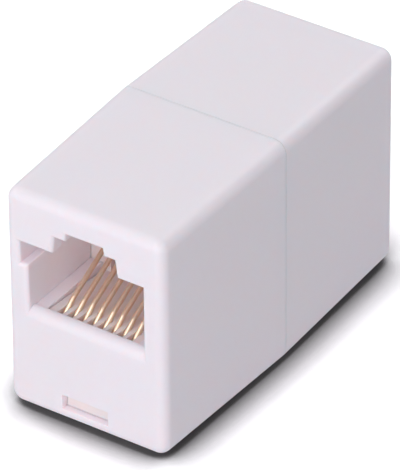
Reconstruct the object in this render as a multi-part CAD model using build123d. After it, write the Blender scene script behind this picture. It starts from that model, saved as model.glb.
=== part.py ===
from build123d import *
import os
from math import cos, radians, tan

# Inline coupler for two eight-way modular plugs, in millimetres.
# X runs across the sockets, Y along the body with the front socket facing -Y, and Z up.
# The origin is under the middle of the body, at its lowest point.
# The rear half is the front half turned half a turn about the crosswise axis through the body's centre.
# Depth is measured inwards from the front face.

# Socket, seen from outside with its latch slot up; its floor is the top of its side rails
port_floor_rise = 10.12
port_width = 11.75
port_height = 6.78
port_depth = 9.4
port_edge_radius = 0.38
lip_rise = 0.12
lip_land = 0.1
key_width = 0.745
key_height = 2.2
latch_slot_width = 6.6
latch_slot_height = 1.69
latch_notch_width = 3.9
latch_notch_height = 0.75
latch_side_taper = 0.14
latch_wall = 1.5
rail_thickness = 1.0

# Body round the socket, fattest at the seam in the middle
body_length = 36.0
side_draft = 1.33
top_draft = 0.98
key_rim = 0.03
latch_roof = 2.64
end_edge_radius = 1.0
long_edge_radius = 1.2
seam_bevel = 0.05

# Shell walls and the joint at the seam
front_wall = 1.1
side_wall = 1.35
floor_wall = 1.17
roof_wall = 1.2
seam_lip_length = 1.2
seam_lip_thickness = 0.6
seam_lip_gap = 0.08

# Latch window under the socket, level with the shell's floor
window_width = 4.7
window_height = 1.5
window_offset = -0.2

# Contact wires
wire_count = 8
wire_pitch = 1.016
wire_diameter = 0.46
wire_gap = 0.04
nose_setback = 1.03
nose_drop = 0.75
nose_radius = 0.6
under_radius = 0.7
root_angle = 35.0
root_run = 1.37
root_radius = 2.0
finger_angle = 27.2
finger_overlap = 0.9
crossing_radius = 1.6

# Insert that carries the contact wires
slide_gap = 0.08
seat_gap = 0.05
deck_front_drop = 0.12
deck_rear_drop = 0.8
deck_thickness = 3.4
deck_side_wall = 0.74
insert_wall = 1.0
comb_side_gap = 0.07
comb_tip_gap = 0.4
comb_back_wall = 0.7
comb_head_room = 0.9
groove_cover = 0.12
tongue_slit = 0.5
tongue_root = 0.43
nub_head = 0.3
nub_foot = 0.42

# How far a cut runs past the face that it opens
overrun = 1.0

# Body sizes that follow
half_length = body_length / 2
end_width = port_width + 2 * (key_width + port_edge_radius + key_rim + end_edge_radius)
end_height = port_floor_rise + port_height + latch_slot_height + latch_notch_height + latch_roof
seam_width = end_width + body_length * tan(radians(side_draft))
seam_height = end_height + body_length * tan(radians(top_draft))
mid_z = seam_height / 2
end_bottom_z = mid_z - end_height / 2
end_top_z = mid_z + end_height / 2
chamber_half = end_width / 2 - side_wall
chamber_floor_z = end_bottom_z + floor_wall
chamber_roof_z = end_top_z - roof_wall

# Socket sizes that follow
port_floor_z = end_bottom_z + port_floor_rise
lip_z = port_floor_z + lip_rise
lip_radius = front_wall - lip_land
port_top_z = port_floor_z + port_height
latch_slot_z = port_top_z + latch_slot_height
latch_notch_z = latch_slot_z + latch_notch_height
rail_bottom_z = port_floor_z - rail_thickness

# Insert and wire sizes that follow
wire_radius = wire_diameter / 2
outer_wire_x = (wire_count - 1) * wire_pitch / 2
comb_slot_half = wire_radius + comb_side_gap
deck_half = outer_wire_x + comb_slot_half + deck_side_wall
rail_inner = deck_half + slide_gap
insert_half = chamber_half - slide_gap
deck_bottom_z = port_floor_z - deck_front_drop - deck_thickness
groove_roof_z = deck_bottom_z + groove_cover + wire_diameter + wire_gap
under_z = groove_roof_z - wire_gap - wire_radius
nose_depth = front_wall + nose_setback
nose_z = port_floor_z - nose_drop
upright_front = port_depth + seat_gap
root_depth = nose_depth + root_run
root_z = nose_z + root_run * tan(radians(root_angle))
tip_depth = upright_front + finger_overlap
tip_z = root_z + (tip_depth - root_depth) * tan(radians(finger_angle))
comb_back = tip_depth + comb_tip_gap
upright_rear = comb_back + comb_back_wall
crossing_depth = upright_rear + crossing_radius


def wire_places():
    """Crosswise places of the wires, evenly spaced about the middle."""
    return [index * wire_pitch - outer_wire_x for index in range(wire_count)]


def block(x_limits, depth_limits, z_limits):
    """Box between two limits each way, with depth measured inwards from the front face."""
    corner = (x_limits[0], depth_limits[0] - half_length, z_limits[0])
    size = (
        x_limits[1] - x_limits[0],
        depth_limits[1] - depth_limits[0],
        z_limits[1] - z_limits[0],
    )
    low = (Align.MIN, Align.MIN, Align.MIN)
    return Pos(*corner) * Box(*size, align=low)


def side_profile(points, radii=None):
    """Closed face in the lengthwise plane through points of depth and height, with rounded corners."""
    placed = [(0, depth - half_length, z) for depth, z in points]
    if radii is None:
        return make_face(Polyline(*placed, close=True))
    return make_face(FilletPolyline(*placed, radius=radii, close=True))


def across(profile, x_low, x_high):
    """The lengthwise profile made solid between two crosswise places."""
    return Pos(x_low, 0, 0) * extrude(profile, amount=x_high - x_low, dir=(1, 0, 0))


def turned(shape):
    """The same moulding turned half a turn about the crosswise axis through the body's centre."""
    return Pos(0, 0, mid_z) * Rot(180, 0, 0) * Pos(0, 0, -mid_z) * shape


def half_body():
    """Half body with flat drafted sides: its plan taken straight up, crossed with its side view."""
    seam_half = seam_width / 2
    end_half = end_width / 2
    plan_points = [
        (-seam_half, 0),
        (seam_half, 0),
        (end_half, -half_length),
        (-end_half, -half_length),
    ]
    side_points = [
        (half_length, 0),
        (half_length, seam_height),
        (0, end_top_z),
        (0, end_bottom_z),
    ]
    plan = extrude(make_face(Polyline(*plan_points, close=True)), amount=seam_height, dir=(0, 0, 1))
    return plan & across(side_profile(side_points), -seam_half, seam_half)


def shell_block():
    """Solid half body with its outer edges rounded and its seam edge bevelled."""
    solid = half_body()
    long_edges = solid.edges().group_by(Axis.Y)[1]
    solid = fillet(long_edges, long_edge_radius)
    solid = fillet(solid.edges().group_by(Axis.Y)[0], end_edge_radius)
    return chamfer(solid.edges().group_by(Axis.Y)[-1], seam_bevel)


def port_outline():
    """Mouth of the socket on the front face, above its lip: side key, then the stepped latch slot."""
    half = port_width / 2
    slot_half = latch_slot_width / 2
    notch_half = latch_notch_width / 2
    slot_top = slot_half - latch_slot_height * latch_side_taper
    notch_top = notch_half - latch_notch_height * latch_side_taper
    right_side = [
        (half, lip_z),
        (half, port_top_z),
        (slot_half, port_top_z),
        (slot_top, latch_slot_z),
        (notch_half, latch_slot_z),
        (notch_top, latch_notch_z),
    ]
    left_steps = [(-x, z) for x, z in reversed(right_side[2:])]
    key = [(-half - key_width, port_top_z), (-half - key_width, port_top_z - key_height)]
    foot = [(-half, port_top_z - key_height), (-half, lip_z)]
    return right_side + left_steps + key + foot


def port_cut():
    """Socket behind its mouth, the drop behind its lip and the pocket behind the latch shoulders."""
    outside = -half_length - overrun
    mouth = make_face(Polyline(*[(x, outside, z) for x, z in port_outline()], close=True))
    cut = extrude(mouth, amount=port_depth + overrun, dir=(0, 1, 0))
    half = port_width / 2
    slot_half = latch_slot_width / 2
    cut += block((-half, half), (front_wall, port_depth), (port_floor_z, lip_z))
    cut += block((-slot_half, slot_half), (latch_wall, port_depth), (port_top_z, latch_notch_z))
    return cut


def chamber_cut():
    """Hollow behind and below the socket that takes the insert, open at the seam."""
    wide = (-chamber_half, chamber_half)
    deck_wide = (-rail_inner, rail_inner)
    behind = block(wide, (port_depth, half_length + overrun), (chamber_floor_z, chamber_roof_z))
    below = block(wide, (front_wall, port_depth), (chamber_floor_z, rail_bottom_z))
    between_rails = block(deck_wide, (front_wall, port_depth), (rail_bottom_z, port_floor_z))
    return behind + below + between_rails


def window_cut():
    """Latch window through the front wall, level with the chamber's floor."""
    sides = (window_offset - window_width / 2, window_offset + window_width / 2)
    return block(sides, (-overrun, front_wall), (chamber_floor_z, chamber_floor_z + window_height))


def seam_ring(growth, z_limits, depth_limits):
    """Band round the chamber's wall at the seam, between two heights."""
    wide = chamber_half + growth
    outer = block((-wide, wide), depth_limits, (chamber_floor_z - growth, chamber_roof_z + growth))
    inner = block((-chamber_half, chamber_half), depth_limits, (chamber_floor_z, chamber_roof_z))
    return (outer - inner) & block((-wide, wide), depth_limits, z_limits)


def seam_lip():
    """Locating lip on the upper half of the seam, rooted in the wall as deep as it stands out."""
    lengths = (half_length - seam_lip_length, half_length + seam_lip_length)
    return seam_ring(seam_lip_thickness, (mid_z + seam_lip_gap, seam_height), lengths)


def seam_rebate():
    """Rebate on the lower half of the seam that takes the other half's lip."""
    lengths = (half_length - seam_lip_length - seam_lip_gap, half_length + overrun)
    return seam_ring(seam_lip_thickness + seam_lip_gap, (0, mid_z), lengths)


def mouth_edges(shell):
    """Edges of the socket's mouth on the front face: its lowest edge, then all the others."""
    front_face = shell.faces().sort_by(Axis.Y)[0]
    lowest, *higher = front_face.inner_wires()[0].edges().group_by(Axis.Z)
    return lowest, [edge for level in higher for edge in level]


def front_shell():
    """Half shell with its socket, window and seam joint."""
    shell = shell_block() - port_cut()
    lip_edge, _ = mouth_edges(shell)
    shell = fillet(lip_edge, lip_radius)
    _, other_edges = mouth_edges(shell)
    shell = fillet(other_edges, port_edge_radius)
    shell = shell - chamber_cut() - window_cut() - seam_rebate()
    return shell + seam_lip()


def slot_profile():
    """Side view of one wire slot: over the comb's nose, down its front and back under the deck."""
    inset = wire_radius + wire_gap
    slope = radians(root_angle)
    nose_inner_depth = nose_depth + inset
    nose_inner_z = nose_z + inset * tan(slope) - inset / cos(slope)
    ramp_end_z = nose_inner_z + (upright_front - nose_inner_depth) * tan(slope)
    front = front_wall - overrun
    rear = upright_rear + overrun
    points = [
        (upright_front, ramp_end_z),
        (nose_inner_depth, nose_inner_z),
        (nose_inner_depth, groove_roof_z),
        (rear, groove_roof_z),
        (rear, deck_bottom_z),
        (front, deck_bottom_z),
        (front, ramp_end_z),
    ]
    radii = [0, nose_radius - inset, under_radius - inset, 0, 0, 0, 0]
    return side_profile(points, radii)


def insert_body():
    """Carrier with its legs, its deck between the rails and its upright behind the socket."""
    wide = (-insert_half, insert_half)
    leg_inner = insert_half - insert_wall
    shoulder_z = rail_bottom_z - slide_gap
    base = block(wide, (front_wall, upright_rear), (chamber_floor_z, shoulder_z))
    upright = block(wide, (upright_front, upright_rear), (shoulder_z, chamber_roof_z - slide_gap))
    deck_points = [
        (front_wall, shoulder_z),
        (front_wall, port_floor_z - deck_front_drop),
        (upright_front, port_floor_z - deck_rear_drop),
        (upright_front, shoulder_z),
    ]
    deck = across(side_profile(deck_points), -deck_half, deck_half)
    hollow_lengths = (front_wall + insert_wall, upright_rear)
    hollow = block((-leg_inner, leg_inner), hollow_lengths, (chamber_floor_z, deck_bottom_z))
    return base + upright + deck - hollow


def snap_tongue_cuts():
    """Two slits that free the snap tongue in the insert's front wall."""
    lengths = (front_wall, front_wall + insert_wall)
    heights = (chamber_floor_z, deck_bottom_z - tongue_root)
    left = window_offset - window_width / 2
    right = window_offset + window_width / 2
    left_slit = block((left - tongue_slit, left), lengths, heights)
    right_slit = block((right, right + tongue_slit), lengths, heights)
    return left_slit + right_slit


def snap_nub():
    """Wedge on the tongue that fills the shell's window, standing out furthest at its foot."""
    half = window_width / 2 - seat_gap
    foot_z = chamber_floor_z + seat_gap
    head_z = chamber_floor_z + window_height - seat_gap
    root = front_wall + insert_wall
    points = [
        (root, foot_z),
        (front_wall - nub_foot, foot_z),
        (front_wall - nub_head, head_z),
        (root, head_z),
    ]
    return across(side_profile(points), window_offset - half, window_offset + half)


def front_insert():
    """Contact carrier with one slot for each wire round its nose and in its upright."""
    insert = insert_body() - snap_tongue_cuts() + snap_nub()
    profile = slot_profile()
    comb_lengths = (upright_front, comb_back)
    comb_heights = (port_floor_z - deck_rear_drop, tip_z + comb_head_room)
    for place in wire_places():
        sides = (place - comb_slot_half, place + comb_slot_half)
        insert -= across(profile, *sides)
        insert -= block(sides, comb_lengths, comb_heights)
    return insert


def half_route():
    """Corners of the wire from its tip in the front socket to the middle crossing, as depth and height."""
    return [
        (tip_depth, tip_z),
        (root_depth, root_z),
        (nose_depth, nose_z),
        (nose_depth, under_z),
        (crossing_depth, under_z),
    ]


def contact_wire(place):
    """One round spring wire, bent over both inserts and crossing between them in the middle."""
    front = [(depth - half_length, z) for depth, z in half_route()]
    rear = [(-y, 2 * mid_z - z) for y, z in reversed(front)]
    points = [(place, y, z) for y, z in front + rear]
    bends = [root_radius, nose_radius, under_radius, crossing_radius]
    path = FilletPolyline(*points, radius=bends + bends[::-1])
    outline = Plane(origin=path @ 0, z_dir=path % 0) * Circle(wire_radius)
    return sweep(outline, path=path)


def all_nodes():
    """Each piece under its own name."""
    shell = front_shell()
    insert = front_insert()
    nodes = {
        "front_shell": shell,
        "rear_shell": turned(shell),
        "front_insert": insert,
        "rear_insert": turned(insert),
    }
    for number, place in enumerate(wire_places(), start=1):
        nodes[f"contact_wire_{number}"] = contact_wire(place)
    return nodes


os.makedirs("parts", exist_ok=True)
for name, shape in all_nodes().items():
    export_step(shape, f"parts/{name}.step")
    print(name, "volume", round(shape.volume, 3))
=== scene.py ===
import math
import bmesh
import bpy
from mathutils import Matrix, Vector


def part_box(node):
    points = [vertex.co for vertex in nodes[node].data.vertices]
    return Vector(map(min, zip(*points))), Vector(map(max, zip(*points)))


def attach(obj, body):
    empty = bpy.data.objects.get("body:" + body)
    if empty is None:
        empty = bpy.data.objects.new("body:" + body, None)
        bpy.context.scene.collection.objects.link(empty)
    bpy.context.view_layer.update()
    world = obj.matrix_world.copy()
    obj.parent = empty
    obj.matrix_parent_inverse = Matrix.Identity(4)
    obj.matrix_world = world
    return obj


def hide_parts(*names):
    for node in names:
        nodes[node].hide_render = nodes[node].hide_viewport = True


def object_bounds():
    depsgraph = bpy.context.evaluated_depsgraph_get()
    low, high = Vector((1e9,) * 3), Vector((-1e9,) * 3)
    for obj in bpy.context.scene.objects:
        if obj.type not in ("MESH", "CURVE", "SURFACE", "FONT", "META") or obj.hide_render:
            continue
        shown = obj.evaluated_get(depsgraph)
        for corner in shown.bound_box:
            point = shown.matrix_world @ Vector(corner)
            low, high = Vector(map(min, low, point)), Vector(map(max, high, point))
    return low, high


# A small white network coupler: finishes, contact wires, floor, lamps and camera.
# Everything is in metres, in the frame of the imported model.

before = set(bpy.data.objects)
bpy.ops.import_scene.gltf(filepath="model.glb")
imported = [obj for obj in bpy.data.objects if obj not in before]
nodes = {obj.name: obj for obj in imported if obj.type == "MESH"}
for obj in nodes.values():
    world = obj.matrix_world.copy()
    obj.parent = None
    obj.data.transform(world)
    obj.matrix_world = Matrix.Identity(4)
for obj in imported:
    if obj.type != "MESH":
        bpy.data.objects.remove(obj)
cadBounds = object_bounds()
mm = 0.001
print("frame loaded with", len(nodes), "nodes")


class Signal:
    # One output socket that takes part in Python arithmetic; each operator adds a Math node
    def __init__(self, graph, socket):
        self.graph = graph
        self.socket = socket

    def maths(self, operation, other, clamp=False):
        settings = {"operation": operation, "use_clamp": clamp}
        return self.graph.add("ShaderNodeMath", settings, {0: self, 1: other})

    def __add__(self, other):
        return self.maths("ADD", other)

    def __mul__(self, other):
        return self.maths("MULTIPLY", other)

    __radd__ = __add__
    __rmul__ = __mul__

    def capped(self):
        return self.maths("ADD", 0.0, clamp=True)


class Graph:
    # Adds nodes to one tree: type first, then its settings, then values or links for its sockets
    def __init__(self, tree):
        self.tree = tree
        self.tree.nodes.clear()

    def add(self, kind, settings=None, sockets=None, output=0):
        node = self.tree.nodes.new(kind)
        for name, value in (settings or {}).items():
            setattr(node, name, value)
        for key, value in (sockets or {}).items():
            self.feed(node.inputs[key], value)
        if len(node.outputs) == 0:
            return node
        return Signal(self, node.outputs[output])

    def feed(self, socket, value):
        if isinstance(value, Signal):
            self.tree.links.new(value.socket, socket)
        else:
            socket.default_value = value

    def outputs(self, kind, names):
        # Several outputs of one new node
        node = self.add(kind).socket.node
        return [Signal(self, node.outputs[name]) for name in names]

    def blendColours(self, factor, first, second):
        # The node's inputs 6 and 7 and its output 2 are the ones for colours
        sockets = {0: factor, 6: first, 7: second}
        return self.add("ShaderNodeMix", {"data_type": "RGBA"}, sockets, output=2)

    def noise(self, place, size, detail=2.0, roughness=0.5):
        sockets = {"Vector": place, "Scale": 1.0 / size, "Detail": detail, "Roughness": roughness}
        return self.add("ShaderNodeTexNoise", None, sockets)

    def remap(self, value, given, wanted=(0.0, 1.0)):
        sockets = {"Value": value, 1: given[0], 2: given[1], 3: wanted[0], 4: wanted[1]}
        return self.add("ShaderNodeMapRange", {"clamp": True}, sockets)

    def bump(self, height, depth, under=None):
        sockets = {"Strength": 1.0, "Distance": depth, "Height": height}
        if under is not None:
            sockets["Normal"] = under
        return self.add("ShaderNodeBump", None, sockets)


def newMaterial(name):
    material = bpy.data.materials.new(name)
    material.use_nodes = True
    return material, Graph(material.node_tree)


def newObject(name, data):
    item = bpy.data.objects.new(name, data)
    bpy.context.scene.collection.objects.link(item)
    return item


def opaque(colour):
    return (*colour, 1.0)


# Finishes

mouldedLook = {
    "driftRange": (0.35, 0.65),         # the part of the noise that makes the change of tone
    "grainShare": 0.6,                  # how much of the change in roughness follows the grain
    "sheenRange": (0.3, 0.7),           # the part of that mix from smoothest to roughest
    "refraction": 1.5,
    "scatter": 1.0,
}

shellLook = {
    **mouldedLook,
    "colour": (0.968, 0.852, 0.900),    # white with a breath of pink
    "coolColour": (0.956, 0.852, 0.914),
    "driftSize": 14 * mm,               # slow change of tone over the moulding
    "roughness": (0.40, 0.50),
    "grainSize": 0.16 * mm,             # spark-eroded mould texture
    "grainDepth": 0.0016 * mm,
    "waveSize": 3.4 * mm,               # faint unevenness of a moulded wall
    "waveDepth": 0.004 * mm,
    "scatterReach": (1.0, 0.7, 0.65),
    "scatterScale": 0.45 * mm,
}

insertLook = {
    **mouldedLook,
    "colour": (0.965, 0.822, 0.805),    # a little warmer than the shell
    "coolColour": (0.958, 0.820, 0.815),
    "driftSize": 5 * mm,
    "roughness": (0.34, 0.46),
    "grainSize": 0.12 * mm,
    "grainDepth": 0.002 * mm,
    "waveSize": 1.6 * mm,
    "waveDepth": 0.003 * mm,
    "scatterReach": (1.0, 0.7, 0.6),
    "scatterScale": 0.4 * mm,
}

goldLook = {
    "colour": (0.98, 0.80, 0.60),
    "dullColour": (0.90, 0.68, 0.50),
    "cloudSize": 0.9 * mm,
    "cloudRange": (0.38, 0.66),
    "cloudShare": 0.7,                  # how much of the change in roughness follows the clouds
    "sheenRange": (0.1, 0.9),
    "roughness": (0.32, 0.42),
    "drawMarkSize": 0.05 * mm,          # fine lines left by the drawing die
    "drawMarkRun": (1.0, 0.04, 0.04),   # they run the way the wire does, never across it
    "drawMarkDepth": 0.0006 * mm,
}


def mouldedPlastic(name, look):
    # Moulded plastic: slow drift of tone, fine texture, faint waves and a little light inside it
    material, graph = newMaterial(name)
    place = graph.add("ShaderNodeTexCoord", output="Object")
    drift = graph.noise(place, look["driftSize"], detail=3.0)
    grain = graph.noise(place, look["grainSize"], detail=4.0, roughness=0.6)
    wave = graph.noise(place, look["waveSize"], detail=1.0)
    tone = graph.remap(drift, look["driftRange"])
    colour = graph.blendColours(tone, opaque(look["colour"]), opaque(look["coolColour"]))
    sheen = grain * look["grainShare"] + drift * (1 - look["grainShare"])
    waves = graph.bump(wave, look["waveDepth"])
    shader = graph.add(
        "ShaderNodeBsdfPrincipled",
        {"subsurface_method": "RANDOM_WALK"},
        {
            "Base Color": colour,
            "Roughness": graph.remap(sheen, look["sheenRange"], look["roughness"]),
            "Normal": graph.bump(grain, look["grainDepth"], waves),
            "IOR": look["refraction"],
            "Subsurface Weight": look["scatter"],
            "Subsurface Radius": look["scatterReach"],
            "Subsurface Scale": look["scatterScale"],
        },
    )
    graph.add("ShaderNodeOutputMaterial", None, {"Surface": shader})
    return material


def platedGold(name, look):
    # Gold-plated drawn wire: warm metal, cloudy where it is rubbed, with fine lines along it
    material, graph = newMaterial(name)
    place = graph.add("ShaderNodeTexCoord", output="Object")
    cloud = graph.noise(place, look["cloudSize"], detail=3.0)
    mask = graph.remap(cloud, look["cloudRange"])
    colour = graph.blendColours(mask, opaque(look["colour"]), opaque(look["dullColour"]))
    along = graph.add("ShaderNodeMapping", None, {"Vector": place, "Scale": look["drawMarkRun"]})
    lines = graph.noise(along, look["drawMarkSize"])
    sheen = mask * look["cloudShare"] + lines * (1 - look["cloudShare"])
    shader = graph.add(
        "ShaderNodeBsdfPrincipled",
        None,
        {
            "Base Color": colour,
            "Metallic": 1.0,
            "Roughness": graph.remap(sheen, look["sheenRange"], look["roughness"]),
            "Normal": graph.bump(lines, look["drawMarkDepth"]),
        },
    )
    graph.add("ShaderNodeOutputMaterial", None, {"Surface": shader})
    return material


shellPlastic = mouldedPlastic("shellPlastic", shellLook)
insertPlastic = mouldedPlastic("insertPlastic", insertLook)
contactGold = platedGold("contactGold", goldLook)
print("finishes made")


# Mouldings

mouldingCare = {
    "weldReach": 0.0005 * mm,           # corners closer than this are one corner
    "flatAngle": math.radians(0.4),     # faces that meet flatter than this are one face
    "sharpAngle": math.radians(24),     # edges sharper than this get a small radius
    "edgeRadius": 0.02 * mm,            # the finest strip between two edges is 0.05 mm wide
    "edgeSteps": 2,
    "flatWeight": 100,                  # over 50, large faces count for more in the shading
}


def bakedMesh(source, name):
    # The evaluated object as a plain mesh
    view = bpy.context.evaluated_depsgraph_get()
    mesh = bpy.data.meshes.new_from_object(source.evaluated_get(view), depsgraph=view)
    mesh.name = name
    return mesh


def weldedCopy(nodeName, care):
    # Copy of a CAD node with its loose triangles joined and its flats made whole
    mesh = nodes[nodeName].data.copy()
    work = bmesh.new()
    work.from_mesh(mesh)
    bmesh.ops.remove_doubles(work, verts=work.verts, dist=care["weldReach"])
    bmesh.ops.dissolve_limit(
        work, angle_limit=care["flatAngle"], verts=work.verts, edges=work.edges
    )
    work.to_mesh(mesh)
    work.free()
    return mesh


def moulding(nodeName, pieceName, material, care=mouldingCare):
    # A CAD node's own shape with its hard edges just broken, as a mould leaves them
    mesh = weldedCopy(nodeName, care)
    mesh.materials.clear()
    mesh.materials.append(material)
    mesh.shade_smooth()
    piece = newObject(pieceName, mesh)
    bevel = piece.modifiers.new("brokenEdges", "BEVEL")
    bevel.limit_method = "ANGLE"
    bevel.angle_limit = care["sharpAngle"]
    bevel.width = care["edgeRadius"]
    bevel.segments = care["edgeSteps"]
    flats = piece.modifiers.new("flatFlats", "WEIGHTED_NORMAL")
    flats.weight = care["flatWeight"]
    flats.keep_sharp = True
    piece.data = bakedMesh(piece, pieceName)
    piece.modifiers.clear()
    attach(piece, "root")
    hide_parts(nodeName)
    print(pieceName, "has", len(piece.data.polygons), "faces")


moulding("front_shell", "front_casing", shellPlastic)
moulding("rear_shell", "rear_casing", shellPlastic)
moulding("front_insert", "front_carrier", insertPlastic)
moulding("rear_insert", "rear_carrier", insertPlastic)


# Contact wires

wireShape = {
    "noseRise": 2.42 * mm,              # from the run under the insert up to the nose
    "rootRun": 1.37 * mm,               # the finger leaves its nose steeply,
    "rootAngle": math.radians(35),
    "fingerRun": 6.85 * mm,             # then runs straight up to its tip
    "fingerAngle": math.radians(27.2),
    "crossing": 4.95 * mm,              # from the middle of the body to the slanted run's ends
    "rootBend": 2.0 * mm,
    "noseBend": 0.6 * mm,
    "underBend": 0.7 * mm,
    "crossingBend": 1.6 * mm,
    "bendSteps": 14,
    "sides": 24,
    "wander": (0.03 * mm, 0.06 * mm, 0.05 * mm),    # no two fingers are bent quite alike
    "wanderLeast": (-1.0, -1.0, 0.0),   # in shares of wander: a finger never sinks
    "wanderMost": (1.0, 1.0, 1.0),
}

wireInputs = {
    "Route": "NodeSocketGeometry",
    "Wire radius": "NodeSocketFloat",
    "Sides": "NodeSocketInt",
    "Bend steps": "NodeSocketInt",
    "Wander": "NodeSocketVector",
    "Seed": "NodeSocketInt",
}


def wireTree(material, shape):
    # Bent wire along a bare line of corners; each corner carries its bend radius and its freedom
    tree = bpy.data.node_groups.new("bentWire", "GeometryNodeTree")
    graph = Graph(tree)
    for name, kind in wireInputs.items():
        tree.interface.new_socket(name, in_out="INPUT", socket_type=kind)
    tree.interface.new_socket("Wire", in_out="OUTPUT", socket_type="NodeSocketGeometry")
    route, radius, sides, steps, wander, seed = graph.outputs("NodeGroupInput", wireInputs)
    bend, freedom = [
        graph.add("GeometryNodeInputNamedAttribute", {"data_type": "FLOAT"}, {"Name": name})
        for name in ("bend", "freedom")
    ]
    chance = graph.add(
        "FunctionNodeRandomValue",
        {"data_type": "FLOAT_VECTOR"},
        {"Min": shape["wanderLeast"], "Max": shape["wanderMost"], "Seed": seed},
    )
    drift = graph.add("ShaderNodeVectorMath", {"operation": "MULTIPLY"}, {0: chance, 1: wander})
    step = graph.add("ShaderNodeVectorMath", {"operation": "SCALE"}, {0: drift, "Scale": freedom})
    moved = graph.add("GeometryNodeSetPosition", None, {"Geometry": route, "Offset": step})
    line = graph.add("GeometryNodeMeshToCurve", None, {"Mesh": moved})
    path = graph.add(
        "GeometryNodeFilletCurve",
        {"mode": "POLY"},
        {"Curve": line, "Count": steps, "Radius": bend},
    )
    outline = graph.add(
        "GeometryNodeCurvePrimitiveCircle",
        {"mode": "RADIUS"},
        {"Resolution": sides, "Radius": radius},
    )
    skin = graph.add(
        "GeometryNodeCurveToMesh",
        None,
        {"Curve": path, "Profile Curve": outline, "Fill Caps": True},
    )
    whole = graph.add("GeometryNodeRealizeInstances", None, {"Geometry": skin})
    finished = graph.add(
        "GeometryNodeSetMaterial", None, {"Geometry": whole, "Material": material}
    )
    graph.add("NodeGroupOutput", None, {"Wire": finished})
    return tree


def wireRoute(nodeName, shape):
    # Corners from the front tip to the rear tip, placed in the CAD box.
    # A corner is (y, z, bend radius, freedom), where freedom lets it wander.
    low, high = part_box(nodeName)
    middle = (low + high) / 2
    radius = (high.x - low.x) / 2
    nose = low.y + radius
    under = low.z + radius
    noseTop = under + shape["noseRise"]
    root = (nose + shape["rootRun"], noseTop + shape["rootRun"] * math.tan(shape["rootAngle"]))
    run = shape["fingerRun"]
    tip = (root[0] + run, root[1] + run * math.tan(shape["fingerAngle"]))
    front = [
        (*tip, 0.0, 0.0),
        (*root, shape["rootBend"], 1.0),
        (nose, noseTop, shape["noseBend"], 0.0),
        (nose, under, shape["underBend"], 0.0),
        (-shape["crossing"], under, shape["crossingBend"], 0.0),
    ]
    rear = [(-y, 2 * middle.z - z, bend, freedom) for y, z, bend, freedom in reversed(front)]
    return middle.x, radius, front + rear


def contactWire(number, tree, shape):
    # One wire, bent from its bare line and kept as a plain mesh
    nodeName = f"contact_wire_{number}"
    place, radius, corners = wireRoute(nodeName, shape)
    mesh = bpy.data.meshes.new(nodeName)
    edges = [(index, index + 1) for index in range(len(corners) - 1)]
    mesh.from_pydata([(place, y, z) for y, z, bend, freedom in corners], edges, [])
    bends = mesh.attributes.new("bend", "FLOAT", "POINT")
    freedoms = mesh.attributes.new("freedom", "FLOAT", "POINT")
    for index, (y, z, bend, freedom) in enumerate(corners):
        bends.data[index].value = bend
        freedoms.data[index].value = freedom
    piece = newObject(f"spring_wire_{number}", mesh)
    bending = piece.modifiers.new("bentWire", "NODES")
    bending.node_group = tree
    values = {
        "Wire radius": radius,
        "Sides": shape["sides"],
        "Bend steps": shape["bendSteps"],
        "Wander": shape["wander"],
        "Seed": number,
    }
    for item in tree.interface.items_tree:
        if item.name in values:
            bending[item.identifier] = values[item.name]
    piece.data = bakedMesh(piece, piece.name)
    piece.modifiers.clear()
    piece.data.shade_smooth()
    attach(piece, "root")
    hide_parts(nodeName)


bentWire = wireTree(contactGold, wireShape)
wireCount = sum(name.startswith("contact_wire") for name in nodes)
for number in range(1, wireCount + 1):
    contactWire(number, bentWire, wireShape)
print(wireCount, "contact wires bent")


# Surroundings

worldLook = {
    "light": (0.93, 0.95, 1.0),         # what falls on the object
    "strength": 0.155,
    "seen": (1.0, 1.0, 1.0),            # what the camera and reflections see
    "seenStrength": 1.0,
}

floorLook = {
    "size": 1.2,
    "colour": (0.80, 0.80, 0.81),
    "seen": (1.8, 1.8, 1.8),            # what the camera sees, so that the lit floor is plain white
    "paintedShadeSeen": (0.10, 0.10, 0.10),    # painted shade: what the camera sees where the body stands close over the floor
    "paintedShadeReach": 5 * mm,
    "openRange": (0.45, 0.98),          # how open the floor is, from full painted shade to none
}

lampLook = {
    "colour": (0.975, 0.98, 1.0),
    "lamps": (
        # name, place, size, watts
        ("frontLamp", (0.05, -0.50, 0.26), 0.42, 1.34),
        ("highLamp", (0.0, -0.21, 0.41), 0.32, 0.36),
        ("cornerLamp", (0.40, -0.40, 0.22), 0.36, 0.57),
        ("leftLamp", (-0.50, 0.0, 0.30), 0.50, 0.95),
        ("backLamp", (0.05, 0.50, 0.35), 0.40, 1.36),
    ),
}


def makeWorld(look):
    world = bpy.data.worlds.new("studioWorld")
    world.use_nodes = True
    graph = Graph(world.node_tree)
    names = ("Is Camera Ray", "Is Glossy Ray", "Is Transmission Ray")
    camera, glossy, through = graph.outputs("ShaderNodeLightPath", names)
    lit, seen = [
        graph.add("ShaderNodeBackground", None, {"Color": opaque(colour), "Strength": strength})
        for colour, strength in (
            (look["light"], look["strength"]),
            (look["seen"], look["seenStrength"]),
        )
    ]
    direct = (camera + glossy + through).capped()
    mixed = graph.add("ShaderNodeMixShader", None, {0: direct, 1: lit, 2: seen})
    graph.add("ShaderNodeOutputWorld", None, {"Surface": mixed})
    bpy.context.scene.world = world


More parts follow.
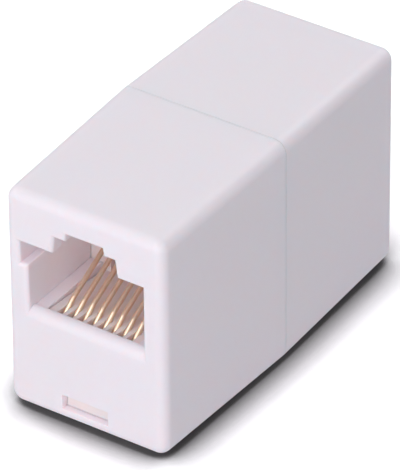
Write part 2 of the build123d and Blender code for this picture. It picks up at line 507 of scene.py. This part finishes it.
def makeFloor(look):
    half = look["size"] / 2
    mesh = bpy.data.meshes.new("floor")
    corners = [(-half, -half, 0), (half, -half, 0), (half, half, 0), (-half, half, 0)]
    mesh.from_pydata(corners, [], [(0, 1, 2, 3)])
    floor = newObject("floor", mesh)
    material, graph = newMaterial("floorPaint")
    camera = graph.add("ShaderNodeLightPath", output="Is Camera Ray")
    # Painted shade: occlusion by the body darkens the floor colour the camera sees, as a contact
    # shadow
    openness = graph.add(
        "ShaderNodeAmbientOcclusion", None, {"Distance": look["paintedShadeReach"]}, output="AO"
    )
    clear = graph.remap(openness, look["openRange"])
    seen = graph.blendColours(clear, opaque(look["paintedShadeSeen"]), opaque(look["seen"]))
    colour = graph.blendColours(camera, opaque(look["colour"]), seen)
    paint = graph.add("ShaderNodeBsdfDiffuse", None, {"Color": colour})
    graph.add("ShaderNodeOutputMaterial", None, {"Surface": paint})
    mesh.materials.append(material)


def makeLamps(look):
    # Round lamps, all turned to the middle of the object
    low, high = cadBounds
    middle = (low + high) / 2
    for name, place, size, watts in look["lamps"]:
        light = bpy.data.lights.new(name, "AREA")
        light.shape = "DISK"
        light.size = size
        light.energy = watts
        light.color = look["colour"]
        lamp = newObject(name, light)
        lamp.location = place
        lamp.rotation_euler = (middle - Vector(place)).to_track_quat("-Z", "Y").to_euler()


makeWorld(worldLook)
makeFloor(floorLook)
makeLamps(lampLook)
print("lamps lit")


# Camera, fitted to the photograph

view = {
    "place": (0.239554, -0.355438, 0.306857),
    "turn": math.radians(34.0238),      # to the left of straight on
    "tilt": math.radians(34.7073),      # looking down
    "roll": math.radians(-0.5214),
    "lens": 464.02,                     # millimetres, like the sensor's width
    "sensorWidth": 36,
}


def makeCamera(look):
    turn, tilt, roll = look["turn"], look["tilt"], look["roll"]
    level = Vector((math.cos(turn), math.sin(turn), 0))
    inward = Vector((-math.sin(turn), math.cos(turn), 0))
    ahead = inward * math.cos(tilt) - Vector((0, 0, math.sin(tilt)))
    upright = level.cross(ahead)
    right = level * math.cos(roll) + upright * math.sin(roll)
    up = upright * math.cos(roll) - level * math.sin(roll)
    data = bpy.data.cameras.new("camera")
    data.lens = look["lens"]
    data.sensor_width = look["sensorWidth"]
    camera = newObject("camera", data)
    axes = Matrix((right, up, -ahead)).transposed().to_4x4()
    camera.matrix_world = Matrix.Translation(look["place"]) @ axes
    bpy.context.scene.camera = camera


makeCamera(view)
bpy.context.scene.view_settings.view_transform = "Standard"
print("camera placed")
